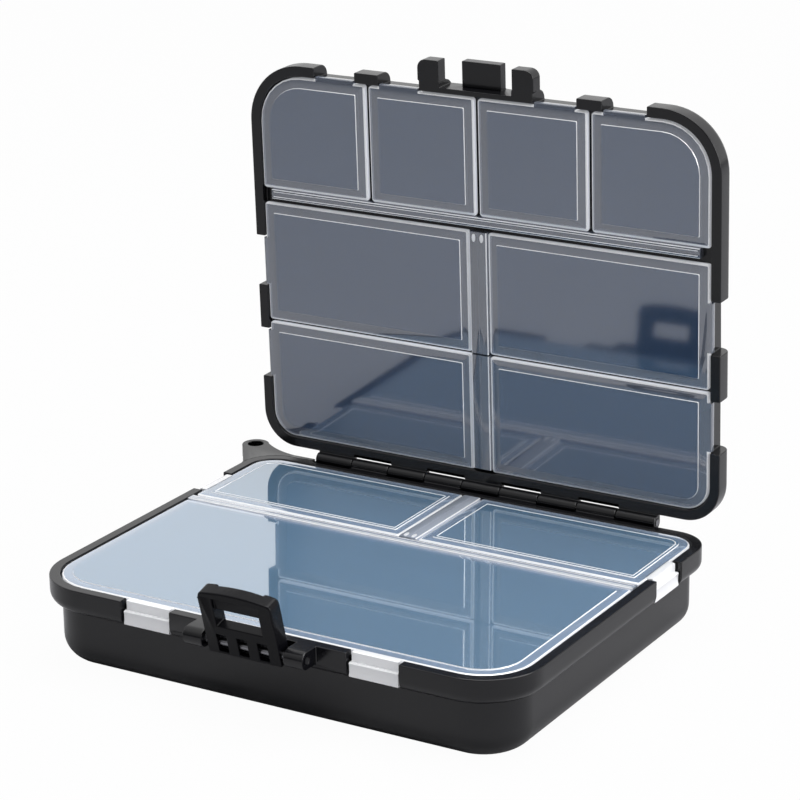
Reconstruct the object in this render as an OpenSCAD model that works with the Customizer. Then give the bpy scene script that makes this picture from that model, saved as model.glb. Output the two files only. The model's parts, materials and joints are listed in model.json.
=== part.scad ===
// Pocket tackle box: two trays on a pinned hinge, divided into cells that each have
// a clear flip lid, shown standing open. Millimetres, +Z up, the base stands on z = 0
// with the middle of its footprint at the origin and the latch towards -Y.

/* [Box] */
// Width of both trays across the rim
box_w = 120; // [112:1:140]
// Depth of both trays from the hinge side to the latch side
box_d = 94; // [88:1:110]
// Height of the base tray up to its rim
base_h = 19.5; // [17:0.5:30]
// Height of the upper tray up to its rim
upper_h = 10; // [9.5:0.5:18]
// Angle at which the upper tray stands open
open_angle = 88.2; // [70:0.1:90]
// Corner radius of the rim on the latch side
front_r = 14; // [12:0.5:18]
// Corner radius of the rim on the hinge side
back_r = 8.6; // [8.5:0.1:12]
// Gap between the two rims when the box is shut
parting_gap = 0.4; // [0.2:0.1:1]

/* [Rim and walls] */
// Width of the rim's top face
rim_w = 2.4; // [2:0.1:3.5]
// Width of the rim's top face along the hinge side
rim_back_w = 2.4; // [2.4:0.1:4]
// Height of the thick band under the rim
band_h = 6; // [4:0.5:8]
// How far the band stands out from the wall, and its lower rounding
band_r = 2.6; // [2:0.1:3]
// Thickness of the side walls
wall_t = 1.6; // [1.2:0.1:2.2]
// Thickness of the floors
floor_t = 1.6; // [1.2:0.1:2.4]
// Rounding between the base tray's walls and its underside
base_edge_r = 5.8; // [4:0.2:7]
// Rounding between the upper tray's walls and its outside
upper_edge_r = 8.5; // [5:0.5:9]
// Least amount by which a wall's corner radius is larger than its lower rounding
corner_margin = 0.2; // [0.1:0.1:1]
// Depth of the step that the lids lie in
seat_depth = 1.7; // [1.7:0.1:2.4]

/* [Cells] */
// Thickness of the ribs between cells
rib_t = 1.2; // [1:0.1:2]
// Thickness of the ledges that carry the strips and spines
ledge_t = 1.2; // [0.8:0.1:2]
// From the hinge side of the base to its cross rib
base_row_v = 32.6; // [28:0.2:40]
// From the hinge side of the upper tray to its lower cross rib
low_row_v = 31.3; // [28:0.1:34]
// From the hinge side of the upper tray to the cross rib of its top row
top_row_v = 61; // [58:0.2:66]
// Distance between the ribs of the top row
top_pitch = 28.3; // [24:0.1:32]
// Dark gap between a row of lids and the hinge strip of the next row
row_gap = 1.1; // [1:0.1:2.4]

/* [Lids] */
// Thickness of a lid's edge
lid_t = 1.5; // [1:0.1:1.5]
// Rise of a lid's middle panel over its edge
panel_rise = 0.2; // [0.1:0.1:0.3]
// Width of the low frame round a lid's panel
frame_w = 2.4; // [1.5:0.1:4]
// Clearance round each lid
lid_gap = 0.3; // [0.2:0.05:0.5]
// Clearance between a lid of the top row and the middle of the rib beside it
top_lid_gap = 0.5; // [0.3:0.1:1]
// Clearance between a lid and what lies under it
lid_lift = 0.1; // [0.05:0.05:0.2]
// Clearance between a lid's hinge bead and its strip or spine
bead_gap = 0.1; // [0.05:0.05:0.3]
// Width of the hinge strips that run across
strip_w = 2.3; // [1.4:0.1:3]
// Width of the centre spines
spine_w = 4.4; // [3.4:0.1:6]
// Gap between the two spines of the upper tray
spine_gap = 0.4; // [0.2:0.1:1]
// How far a spine stops short of the rim
spine_end_gap = 0.8; // [0.3:0.1:2]

/* [Finger tabs] */
// Width of the tabs on the lids that open sideways
side_tab_w = 11.4; // [8:0.2:14]
// Width of the tabs on the top row of lids
top_tab_w = 10; // [8:0.2:12]
// Width of the tabs on the base's front lid
front_tab_w = 11.6; // [8:0.2:14]
// Distance of the front lid's tabs from the middle
front_tab_x = 28; // [22:0.5:34]
// Distance of the top row's tabs from the ribs at the quarters
top_tab_x = 8.5; // [7:0.1:10]
// From the hinge side to the tabs nearest it
low_tab_v = 23; // [18:0.5:24]
// From the hinge side to the tabs of the middle lids
mid_tab_v = 46; // [42:0.5:50]
// Clearance on each side of a tab in its notch
tab_gap = 0.4; // [0.2:0.1:1]
// Thickness of the leg of a base tab
tab_t = 1; // [0.8:0.1:1.1]
// How far the base tabs reach down below the rim
tab_drop = 5.4; // [4:0.2:6]
// Depth of the top of a base tab's lip below the rim
lip_drop = 2.2; // [1.6:0.1:3]
// How far that lip stands out from the leg, in front
lip_step = 0.8; // [0.3:0.1:1]
// How far that lip stands out from the leg, at each side
lip_side = 0.3; // [0.1:0.1:0.6]
// How far the lip's face lies inside the band's face
base_tab_inset = 0.5; // [0.2:0.1:1]
// How far an upper tab's face lies inside the band's face
upper_tab_inset = 2; // [1:0.1:2.2]

/* [Hinge] */
// Radius of the hinge barrels
knuckle_r = 1.6; // [1.4:0.1:1.8]
// Length of one hinge barrel with its gap
knuckle_w = 10; // [8:0.5:11]
// Number of hinge barrels, which the two trays share in turn
knuckles = 9; // [5:2:9]
// Gap between two hinge barrels
knuckle_gap = 0.2; // [0.1:0.05:0.4]
// Distance of the hinge axis behind the rims
hinge_offset = 1.8; // [1.8:0.1:2.4]
// Depth of the hollow in each rim facing the other tray's barrels
relief = 0.6; // [0.5:0.1:1.2]
// Radius of the hinge pin
pin_r = 0.8; // [0.6:0.05:0.9]
// Radial clearance of the pins in their barrels
pin_fit = 0.05; // [0.02:0.01:0.1]

/* [Latch] */
// Angle at which the latch leans out while the box is open
latch_tilt = 15; // [15:1:40]
// Distance of the latch axis in front of the band
latch_offset = 3.3; // [3.2:0.1:4]
// Depth of the latch axis below the base's rim
latch_drop = 2; // [2:0.1:2.5]
// Width of the latch
latch_w = 17.9; // [16:0.1:18]
// Width of the latch window
window_w = 11.2; // [10.8:0.1:12]
// Height of the latch above its axis
latch_top = 13.5; // [12.5:0.1:14]
// Rise of the latch's arched top edge
latch_arch = 0.8; // [0.3:0.1:1]
// Radius of the latch's upper corners
latch_corner_r = 1.2; // [0.5:0.1:1.6]
// Length of the latch below its axis
latch_foot = 2.3; // [2:0.1:2.5]
// Height of the window's lower edge above the latch axis
window_low = 4.9; // [4.4:0.1:5]
// Height of the window's upper edge above the latch axis
window_high = 8.7; // [8.6:0.1:9.5]
// Height of the upper edge of the hollow over the window
hollow_high = 11.7; // [10:0.1:12]
// Depth of that hollow
hollow_t = 0.8; // [0.4:0.1:0.9]
// From the latch axis to the latch's outer face
latch_front = 1.3; // [1.2:0.1:1.8]
// From the latch axis to the back of the latch's lower part
latch_back = 1.5; // [1.4:0.1:1.7]
// From the latch axis to the back of the latch's side rails
rail_back = 2.3; // [1.8:0.1:2.4]
// From the latch axis to the back of the top bar at the window
bar_back_low = 0.45; // [0.2:0.05:0.5]
// From the latch axis to the back of the top bar at its top
bar_back_high = 1.85; // [1:0.05:1.9]
// Number of grip slots in the latch
slots = 3; // [1:1:4]
// Width of a grip slot
slot_w = 2.4; // [1.5:0.1:2.6]
// Distance between grip slots
slot_pitch = 5; // [3.6:0.1:5.5]
// Lower end of the grip slots, below the latch axis
slot_low = 1.6; // [1:0.1:1.8]
// Upper end of the grip slots, above the latch axis
slot_high = 2.7; // [2:0.1:3.4]
// Radius of the latch pin
latch_pin_r = 0.75; // [0.6:0.05:0.9]
// Distance of the base's latch ears from the middle
ear_x = 10; // [9.6:0.1:11]
// Width of the base's latch ears
ear_w = 4.7; // [4:0.1:6]
// Distance of the upper tray's catch ears from the middle
catch_x = 9.3; // [9.3:0.1:10.5]
// Width of the catch ears
catch_w = 5.4; // [4:0.1:6]
// Reach of the catch ears in front of the band
catch_reach = 4.9; // [4:0.1:5.2]
// Thickness of the catch ears
catch_t = 3.4; // [2.5:0.1:3.4]
// Radius of the catch ears' outer corners
catch_r = 2; // [0.5:0.1:2.4]
// Width of the tongue that the latch hooks over
tongue_w = 9.8; // [8:0.1:10]
// Thickness of the tongue
tongue_t = 2.6; // [2:0.1:2.7]
// Depth of the tongue below the upper tray's rim plane
tongue_w0 = 3; // [3:0.1:3.4]
// Reach of the tongue in front of the band
tongue_reach = 4.7; // [4.5:0.1:4.8]
// Depth of the hollow in the upper rim behind the latch
catch_hollow = 1.2; // [1:0.1:1.4]

/* [Lanyard eye] */
// Distance of the eye's hole to the left of the middle
eye_x = 64.8; // [64.5:0.1:66]
// Distance of the eye's hole behind the rim
eye_back = 4.4; // [4:0.1:4.8]
// Radius of the eye's hole
eye_hole_r = 1.9; // [1.5:0.1:2]
// Outside radius of the eye
eye_r = 3.3; // [3:0.1:3.6]
// Thickness of the eye
eye_t = 3.3; // [2.5:0.1:4]
// Depth of the eye's top below the rim
eye_drop = 0.2; // [0.1:0.1:1]
// From the hinge side to where the eye's web leaves the side of the box
eye_side_v = 8.5; // [7:0.5:12]
// From the middle to the end of the shelf that runs from the eye towards the hinge
eye_shelf_x = 46; // [45.5:0.5:48]
// Width of that shelf behind the rim
eye_shelf_back = 1.9; // [0.5:0.1:2]
// Radius of the hollow flank between the shelf and the eye
eye_flank_r = 20; // [14:1:30]
// Where the web's side edge meets the eye, as an angle from the side
eye_side_angle = 12; // [0:1:30]

/* [Hidden] */
$fn = 48;
// Overlap of pieces that are joined into one solid, and of cuts past a face
bite = 1;
axis_y = box_d / 2 + hinge_offset;
axis_z = base_h + parting_gap / 2;
wall_inset = band_r;
wall_front_r = front_r - wall_inset;
seat_x = box_w / 2 - rim_w;
seat_v = box_d - rim_w;
bead_r = lid_t / 2;
lid_z = lid_lift - seat_depth;
bead_z = lid_z + bead_r;
lid_top = lid_z + lid_t + panel_rise;
spine_axis = spine_w / 2 + bead_gap + bead_r;
hinge_span = knuckles * knuckle_w;
// How far the hollow flank reaches into the shelf and the eye, so that they cross clearly
eye_flank_bite = 0.15;
tab_root = rim_w + lid_gap + bite;
latch_depth = latch_front + rail_back;
black = "#222225";
clear = "#aebfd0";
steel = "#8c8c90";

// Distance from the hinge side to the hinge axis of the row of lids beyond a cross rib
function row_axis(row_v) = row_v + row_gap / 2 + strip_w + bead_gap + bead_r;

// A tray's own frame: x across, y from its hinge side to its latch side, z = 0 on the
// rim's top face and the tray below it.
module on_base() {
    translate([0, box_d / 2, base_h]) rotate([0, 0, 180]) children();
}

module on_upper() {
    translate([0, axis_y, axis_z])
        rotate([180 - open_angle, 0, 0])
            translate([0, hinge_offset, -parting_gap / 2]) children();
}

// Half of a tray's section: flat on top, with its lower outer edge rounded
module edge_section(width, edge_r, height) {
    intersection() {
        translate([0, -height]) square([width, height]);
        union() {
            translate([0, -height]) square([width - edge_r, height]);
            translate([0, edge_r - height]) square([width, height - edge_r]);
            translate([width - edge_r, edge_r - height]) circle(edge_r);
        }
    }
}

// A slab below z = 0 with rounded corners and a rounded lower edge
module slab(width, v0, v1, corner_front, corner_back, edge_r, height) {
    half_front = width / 2 - corner_front;
    half_back = width / 2 - corner_back;
    for (side = [0, 1]) {
        mirror([side, 0, 0]) {
            translate([half_front, v1 - corner_front, 0])
                rotate_extrude(angle = 90) edge_section(corner_front, edge_r, height);
            translate([half_back, v0 + corner_back, 0]) rotate([0, 0, -90])
                rotate_extrude(angle = 90) edge_section(corner_back, edge_r, height);
        }
    }
    translate([-half_front, v1 - corner_front, 0]) rotate([90, 0, 90])
        linear_extrude(2 * half_front) edge_section(corner_front, edge_r, height);
    translate([half_back, v0 + corner_back, 0]) rotate([90, 0, -90])
        linear_extrude(2 * half_back) edge_section(corner_back, edge_r, height);
    translate([0, v1 - corner_front, 0]) rotate([90, 0, 0])
        linear_extrude(v1 - corner_front - v0 - corner_back) {
            edge_section(width / 2, edge_r, height);
            mirror([1, 0]) edge_section(width / 2, edge_r, height);
        }
}

// Outline of the step that the lids lie in, drawn in by an amount
module seat_outline(inset) {
    half = seat_x - inset;
    v0 = rim_back_w + inset;
    v1 = seat_v - inset;
    r_front = front_r - rim_w - inset;
    r_back = max(back_r - rim_back_w - inset, 1);
    translate([-half, v0 + r_back]) square([2 * half, v1 - r_front - v0 - r_back]);
    translate([r_back - half, v0]) square([2 * (half - r_back), v1 - r_front - v0]);
    translate([r_front - half, v0 + r_back]) square([2 * (half - r_front), v1 - v0 - r_back]);
    for (side = [-1, 1]) {
        translate([side * (half - r_front), v1 - r_front]) circle(r_front);
        translate([side * (half - r_back), v0 + r_back]) circle(r_back);
    }
}

// Corner radius of a tray's walls on the hinge side
function wall_back_r(edge_r) = max(back_r - wall_inset, edge_r + corner_margin);

module tray_body(height, edge_r) {
    slab(box_w, 0, box_d, front_r, back_r, band_r, band_h);
    slab(box_w - 2 * wall_inset, wall_inset, box_d - wall_inset,
        wall_front_r, wall_back_r(edge_r), edge_r, height);
}

module tray_hollow(height, edge_r) {
    inset = wall_inset + wall_t;
    slab(box_w - 2 * inset, inset, box_d - inset,
        wall_front_r - wall_t, wall_back_r(edge_r) - wall_t, edge_r - wall_t, height - floor_t);
}

module seat() {
    translate([0, 0, -seat_depth]) linear_extrude(seat_depth + bite) seat_outline(0);
}

// A rib along x with a ledge that carries the lids and the strip beyond it
module cross_rib(row_v, ledge_back, ledge_front, height) {
    translate([-box_w / 2, row_v - rib_t / 2, -height])
        cube([box_w, rib_t, height - seat_depth]);
    translate([-box_w / 2, row_v - ledge_back, -seat_depth - ledge_t])
        cube([box_w, ledge_back + ledge_front, ledge_t]);
}

// A rib along v with a ledge as wide as what it carries
module long_rib(x, v0, v1, ledge_w, height) {
    translate([x - rib_t / 2, v0, -height]) cube([rib_t, v1 - v0, height - seat_depth]);
    translate([x - ledge_w / 2, v0, -seat_depth - ledge_t]) cube([ledge_w, v1 - v0, ledge_t]);
}

// Places a shape drawn at the outside of the rim, with +Y pointing out of the tray
module at_front(x) {
    translate([x, box_d, 0]) children();
}

module at_side(v, side) {
    translate([side * box_w / 2, v, 0]) rotate([0, 0, -90 * side]) children();
}

module notch(tab_w) {
    notch_w = tab_w + 2 * tab_gap;
    translate([-notch_w / 2, -wall_inset, -band_h - bite])
        cube([notch_w, wall_inset + bite, band_h + 2 * bite]);
}

// Finger tab of an upper lid: a short flat plate in its notch
module flat_tab(tab_w) {
    translate([-tab_w / 2, -tab_root, lid_z])
        cube([tab_w, tab_root - upper_tab_inset, lid_t + panel_rise]);
}

// Finger tab of a base lid: a leg over the outside of the wall, with a lip to pull on
module hooked_tab(tab_w) {
    leg_w = tab_w - 2 * lip_side;
    leg_inset = base_tab_inset + lip_step;
    translate([-leg_w / 2, -tab_root, lid_z])
        cube([leg_w, tab_root - leg_inset, lid_t + panel_rise]);
    translate([-leg_w / 2, -leg_inset - tab_t, -tab_drop])
        cube([leg_w, tab_t, tab_drop + lid_top]);
    translate([-tab_w / 2, -leg_inset - tab_t, -tab_drop])
        cube([tab_w, tab_t + lip_step, tab_drop - lip_drop]);
}

// The barrels of one tray, counted from its left, with the webs that carry them
module barrels(first) {
    for (i = [first : 2 : knuckles - 1]) {
        translate([i * knuckle_w - hinge_span / 2 + knuckle_gap / 2, 0, 0]) {
            translate([0, -hinge_offset, parting_gap / 2]) rotate([0, 90, 0])
                cylinder(r = knuckle_r, h = knuckle_w - knuckle_gap);
            translate([0, -hinge_offset, parting_gap / 2 - knuckle_r])
                cube([knuckle_w - knuckle_gap, hinge_offset + bite, knuckle_r - parting_gap / 2]);
        }
    }
}

// Hollows in a rim that face the other tray's barrels
module barrel_hollows(first) {
    for (i = [first : 2 : knuckles - 1]) {
        translate([i * knuckle_w - hinge_span / 2, -hinge_offset, parting_gap / 2])
            rotate([0, 90, 0]) cylinder(r = hinge_offset + relief, h = knuckle_w);
    }
}

module hinge_bore() {
    translate([-hinge_span / 2 - bite, -hinge_offset, parting_gap / 2]) rotate([0, 90, 0])
        cylinder(r = pin_r + pin_fit, h = hinge_span + 2 * bite);
}

// Ears on the base that hold the latch pin
module latch_ears() {
    for (side = [-1, 1]) {
        translate([side * (ear_x + ear_w / 2) - ear_w / 2, 0, 0]) {
            translate([0, box_d - bite, -2 * latch_drop])
                cube([ear_w, latch_offset + bite, 2 * latch_drop]);
            translate([0, box_d + latch_offset, -latch_drop]) rotate([0, 90, 0])
                cylinder(r = latch_drop, h = ear_w);
        }
    }
}

module latch_bore() {
    translate([-ear_x - ear_w - bite, box_d + latch_offset, -latch_drop]) rotate([0, 90, 0])
        cylinder(r = latch_pin_r + pin_fit, h = 2 * (ear_x + ear_w + bite));
}

// The part of the web that widens from the shelf to the eye, with a hollow flank
module eye_flank() {
    flank_y = -eye_shelf_back - eye_flank_r + eye_flank_bite;
    reach = eye_flank_r + eye_r - eye_flank_bite;
    flank_x = eye_x - sqrt(reach * reach - pow(eye_back + flank_y, 2));
    difference() {
        translate([flank_x, -eye_back - eye_r / 2])
            square([eye_x - flank_x, eye_back + eye_r / 2 - eye_shelf_back / 2]);
        translate([flank_x, flank_y]) circle(eye_flank_r);
    }
}

// Eye for a cord at the back left corner, on a web between the side and the back
module lanyard_eye() {
    translate([0, 0, -eye_drop - eye_t]) linear_extrude(eye_t) {
        translate([eye_x, -eye_back]) circle(eye_r);
        eye_flank();
        polygon([
            [box_w / 2 - rim_w / 2, eye_side_v],
            [box_w / 2, eye_side_v],
            [eye_x + eye_r * cos(eye_side_angle), eye_r * sin(eye_side_angle) - eye_back],
            [eye_x, -eye_back],
            [eye_x, -eye_shelf_back],
            [eye_shelf_x, -eye_shelf_back],
            [eye_shelf_x, rim_back_w / 2],
            [box_w / 2 - back_r, rim_back_w / 2]
        ]);
    }
}

module lanyard_bore() {
    translate([eye_x, -eye_back, -eye_drop - eye_t - bite])
        cylinder(r = eye_hole_r, h = eye_t + 2 * bite);
}

module base_shell() {
    color(black) on_base() difference() {
        union() {
            tray_body(base_h, base_edge_r);
            barrels(1);
            latch_ears();
            lanyard_eye();
        }
        difference() {
            tray_hollow(base_h, base_edge_r);
            cross_rib(base_row_v, row_gap, row_axis(base_row_v) - base_row_v, base_h);
            long_rib(0, 0, base_row_v, spine_w, base_h);
        }
        seat();
        barrel_hollows(0);
        hinge_bore();
        latch_bore();
        lanyard_bore();
        for (side = [-1, 1]) {
            at_front(side * front_tab_x) notch(front_tab_w);
            at_side(low_tab_v, side) notch(side_tab_w);
        }
    }
}

module upper_shell() {
    hollow_w = 2 * catch_x - tab_gap;
    color(black) on_upper() difference() {
        union() {
            tray_body(upper_h, upper_edge_r);
            barrels(0);
        }
        difference() {
            tray_hollow(upper_h, upper_edge_r);
            cross_rib(low_row_v, rib_t / 2, rib_t / 2, upper_h);
            cross_rib(top_row_v, row_gap, row_axis(top_row_v) - top_row_v, upper_h);
            long_rib(0, 0, top_row_v, spine_w, upper_h);
            for (i = [-1 : 1]) {
                long_rib(i * top_pitch, top_row_v, box_d, rib_t, upper_h);
            }
        }
        seat();
        barrel_hollows(1);
        hinge_bore();
        translate([-hollow_w / 2, box_d - catch_hollow, -band_h - bite])
            cube([hollow_w, catch_hollow + bite, band_h + 2 * bite]);
        for (side = [-1, 1]) {
            at_front(side * (top_pitch - top_tab_x)) notch(top_tab_w);
            at_front(side * (top_pitch + top_tab_x)) notch(top_tab_w);
            at_side(low_tab_v, side) notch(side_tab_w);
            at_side(mid_tab_v, side) notch(side_tab_w);
        }
    }
}

module hinge_pin() {
    color(steel) translate([-hinge_span / 2, axis_y, axis_z]) rotate([0, 90, 0])
        cylinder(r = pin_r, h = hinge_span);
}

module latch_pin() {
    reach = ear_x + ear_w;
    color(steel) translate([-reach, -box_d / 2 - latch_offset, base_h - latch_drop])
        rotate([0, 90, 0]) cylinder(r = latch_pin_r, h = 2 * reach);
}

// One bar of the latch, from a side view with +X towards the box and +Y up
module latch_bar(x0, x1) {
    translate([x0, 0, 0]) rotate([90, 0, 90]) linear_extrude(x1 - x0) children();
}

module latch_bars() {
    half = latch_w / 2;
    latch_bar(-half, half) translate([-latch_front, -latch_foot])
        square([latch_front + latch_back, latch_foot + window_low]);
    for (side = [0, 1]) {
        mirror([side, 0, 0]) latch_bar(window_w / 2, half)
            translate([-latch_front, 0]) square([latch_front + rail_back, latch_top]);
    }
    latch_bar(-window_w / 2 - bite, window_w / 2 + bite) polygon([
        [hollow_t - latch_front, window_high],
        [bar_back_low, window_high],
        [bar_back_high, latch_top],
        [-latch_front, latch_top],
        [-latch_front, hollow_high],
        [hollow_t - latch_front, hollow_high]
    ]);
}

// The latch's outline from the front, with its axis at z = 0
module latch_outline() {
    half = latch_w / 2;
    inner = half - latch_corner_r;
    arch_r = (half * half + latch_arch * latch_arch) / (2 * latch_arch);
    corner_z = latch_top - arch_r + sqrt(arch_r * arch_r - inner * inner) - latch_corner_r;
    intersection() {
        translate([0, latch_top - arch_r]) circle(arch_r);
        union() {
            translate([-half, -latch_foot]) square([latch_w, latch_foot + corner_z]);
            translate([-inner, -latch_foot]) square([2 * inner, latch_foot + latch_top]);
            for (side = [-1, 1]) {
                translate([side * inner, corner_z]) circle(latch_corner_r);
            }
        }
    }
}

module latch() {
    half = latch_w / 2;
    color(black)
    translate([0, -box_d / 2 - latch_offset, base_h - latch_drop])
    rotate([latch_tilt, 0, 0]) difference() {
        intersection() {
            rotate([90, 0, 0]) translate([0, 0, -latch_depth]) linear_extrude(2 * latch_depth)
                latch_outline();
            latch_bars();
        }
        translate([-half - bite, 0, 0]) rotate([0, 90, 0])
            cylinder(r = latch_pin_r + pin_fit, h = latch_w + 2 * bite);
        for (i = [0 : slots - 1]) {
            translate([(i - (slots - 1) / 2) * slot_pitch - slot_w / 2, -latch_front - bite, -slot_low])
                cube([slot_w, latch_front + bite, slot_low + slot_high]);
        }
    }
}

// An ear beside the latch, on the band of the upper tray
module catch_ear(side) {
    color(black) on_upper() mirror([side < 0 ? 1 : 0, 0, 0])
        translate([catch_x, box_d, -catch_t]) linear_extrude(catch_t) {
            square([catch_w, catch_reach - catch_r]);
            square([catch_w - catch_r, catch_reach]);
            translate([catch_w - catch_r, catch_reach - catch_r]) circle(catch_r);
        }
}

module catch_tongue() {
    color(black) on_upper()
        translate([-tongue_w / 2, box_d - catch_hollow, -tongue_w0 - tongue_t])
            cube([tongue_w, catch_hollow + tongue_reach, tongue_t]);
}

// A hinge strip along x beyond a cross rib, and a spine along v in the middle
module strip(row_v) {
    translate([0, 0, -seat_depth]) linear_extrude(seat_depth + lid_top) intersection() {
        seat_outline(lid_gap);
        translate([-box_w / 2, row_v + row_gap / 2]) square([box_w, strip_w]);
    }
}

module spine(v0, v1) {
    translate([-spine_w / 2, v0, -seat_depth]) cube([spine_w, v1 - v0, seat_depth + lid_top]);
}

// The plate of a lid over [x0, x1] by [v0, v1], cut to the seat, with a raised panel
module leaf(x0, x1, v0, v1) {
    translate([0, 0, lid_z]) linear_extrude(lid_t) intersection() {
        seat_outline(lid_gap);
        translate([x0, v0]) square([x1 - x0, v1 - v0]);
    }
    translate([0, 0, lid_z]) linear_extrude(lid_t + panel_rise) intersection() {
        seat_outline(lid_gap + frame_w);
        translate([x0 + frame_w, v0 + frame_w])
            square([x1 - x0 - 2 * frame_w, v1 - v0 - 2 * frame_w]);
    }
}

// The rounded hinge edge of a lid, along x or along v
module bead_x(x0, x1, v) {
    translate([x0, v, bead_z]) rotate([0, 90, 0]) cylinder(r = bead_r, h = x1 - x0);
}

module bead_v(x, v0, v1) {
    translate([x, v0, bead_z]) rotate([-90, 0, 0]) cylinder(r = bead_r, h = v1 - v0);
}

// A lid that opens on a spine, on the side of the tray that side gives
module spine_lid(side, v0, v1) {
    far = seat_x - lid_gap;
    leaf(side > 0 ? spine_axis : -far, side > 0 ? far : -spine_axis, v0, v1);
    bead_v(side * spine_axis, v0, v1);
}

// A lid that opens on a cross strip
module row_lid(x0, x1, row_v) {
    leaf(x0, x1, row_axis(row_v), seat_v - lid_gap);
    bead_x(x0, x1, row_axis(row_v));
}

// A lid of the upper tray's top row, counted from the left
module top_lid(i) {
    x0 = i == 0 ? lid_gap - seat_x : (i - 2) * top_pitch + top_lid_gap;
    x1 = i == 3 ? seat_x - lid_gap : (i - 1) * top_pitch - top_lid_gap;
    tab_x = [-top_pitch - top_tab_x, top_tab_x - top_pitch,
        top_pitch - top_tab_x, top_pitch + top_tab_x][i];
    color(clear) on_upper() {
        row_lid(x0, x1, top_row_v);
        at_front(tab_x) flat_tab(top_tab_w);
    }
}

module base_lid(side) {
    color(clear) on_base() {
        spine_lid(side, rim_back_w + lid_gap, base_row_v - row_gap / 2);
        at_side(low_tab_v, side) hooked_tab(side_tab_w);
    }
}

module upper_lid(side, v0, v1, tab_v) {
    color(clear) on_upper() {
        spine_lid(side, v0, v1);
        at_side(tab_v, side) flat_tab(side_tab_w);
    }
}

module low_lid(side) {
    upper_lid(side, rim_back_w + lid_gap, low_row_v - lid_gap, low_tab_v);
}

module mid_lid(side) {
    upper_lid(side, low_row_v + lid_gap, top_row_v - row_gap / 2, mid_tab_v);
}

module base_front_strip() { color(clear) on_base() strip(base_row_v); }

module base_front_lid() {
    color(clear) on_base() {
        row_lid(lid_gap - seat_x, seat_x - lid_gap, base_row_v);
        for (side = [-1, 1]) {
            at_front(side * front_tab_x) hooked_tab(front_tab_w);
        }
    }
}

module base_spine() { color(clear) on_base() spine(rim_back_w + spine_end_gap, base_row_v); }

module base_left_lid() { base_lid(1); }

module base_right_lid() { base_lid(-1); }

module top_strip() { color(clear) on_upper() strip(top_row_v); }

module mid_spine() {
    color(clear) on_upper() spine(low_row_v + spine_gap / 2, top_row_v - row_gap / 2);
}

module low_spine() {
    color(clear) on_upper() spine(rim_back_w + spine_end_gap, low_row_v - spine_gap / 2);
}

base_shell();
upper_shell();
hinge_pin();
latch();
latch_pin();
catch_ear(-1);  // catch_ear_left
catch_ear(1);  // catch_ear_right
catch_tongue();
base_front_strip();
base_front_lid();
base_spine();
base_left_lid();
base_right_lid();
top_strip();
top_lid(0);  // top_lid_1
top_lid(1);  // top_lid_2
top_lid(2);  // top_lid_3
top_lid(3);  // top_lid_4
mid_spine();
mid_lid(-1);  // mid_left_lid
mid_lid(1);  // mid_right_lid
low_spine();
low_lid(-1);  // low_left_lid
low_lid(1);  // low_right_lid
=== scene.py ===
"""Dresses a pocket tackle box: two black trays on a pinned hinge, with clear flip lids.

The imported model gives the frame. Each piece here is built in a tray's own coordinates, in
millimetres, and is laid into the row frame by that tray's matrix.
"""

from __future__ import annotations

import json
import logging
import math
from dataclasses import dataclass
from enum import Enum
from typing import Callable, Iterable, Sequence

import bmesh
import bpy
from mathutils import Matrix, Vector

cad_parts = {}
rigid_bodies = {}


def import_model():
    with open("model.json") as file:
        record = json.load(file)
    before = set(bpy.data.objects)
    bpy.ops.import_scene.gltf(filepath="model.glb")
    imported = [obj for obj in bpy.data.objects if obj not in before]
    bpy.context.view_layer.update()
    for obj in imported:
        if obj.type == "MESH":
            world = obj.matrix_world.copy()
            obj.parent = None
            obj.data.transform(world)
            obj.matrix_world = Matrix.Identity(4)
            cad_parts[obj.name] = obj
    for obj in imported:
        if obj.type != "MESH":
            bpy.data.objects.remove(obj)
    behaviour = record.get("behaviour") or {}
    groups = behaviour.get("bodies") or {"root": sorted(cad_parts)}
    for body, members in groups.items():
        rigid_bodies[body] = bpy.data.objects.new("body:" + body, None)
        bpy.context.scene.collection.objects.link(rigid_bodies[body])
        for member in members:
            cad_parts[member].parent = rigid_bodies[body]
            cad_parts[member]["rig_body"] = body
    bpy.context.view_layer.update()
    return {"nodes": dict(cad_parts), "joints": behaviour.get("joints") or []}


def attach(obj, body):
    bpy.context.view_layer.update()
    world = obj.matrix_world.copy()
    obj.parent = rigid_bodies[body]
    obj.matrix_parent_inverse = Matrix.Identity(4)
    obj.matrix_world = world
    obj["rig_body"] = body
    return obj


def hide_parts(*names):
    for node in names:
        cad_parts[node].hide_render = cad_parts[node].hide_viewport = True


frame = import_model()

# A millimetre in metres.
MM = 0.001
# Edges of the clear pieces sharper than this many degrees stay sharp.
SMOOTH_ANGLE = 32.0
# A small rounding is two flats, which meet at this share of its radius in from both sides.
FLATS_MEET = 0.3
# Noise lies about this value.
NOISE_MEAN = 0.5
LOG = logging.getLogger("tackle_box")

Point2 = tuple[float, float]
Point3 = tuple[float, float, float]
Colour = tuple[float, float, float]
FourSides = tuple[float, float, float, float]
Piece = bpy.types.Object
Finish = bpy.types.Material


def srgb(red: int, green: int, blue: int) -> Colour:
    """Turns a colour as a screen shows it into the linear values that shaders use.

    Args:
        red: Red, 0 to 255.
        green: Green, 0 to 255.
        blue: Blue, 0 to 255.

    Returns:
        The three linear values.
    """

    def linear(level: int) -> float:
        """Linear value of one channel."""
        part = level / 255
        return part / 12.92 if part <= 0.04045 else ((part + 0.055) / 1.055) ** 2.4

    return linear(red), linear(green), linear(blue)


# ---- sizes


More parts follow.
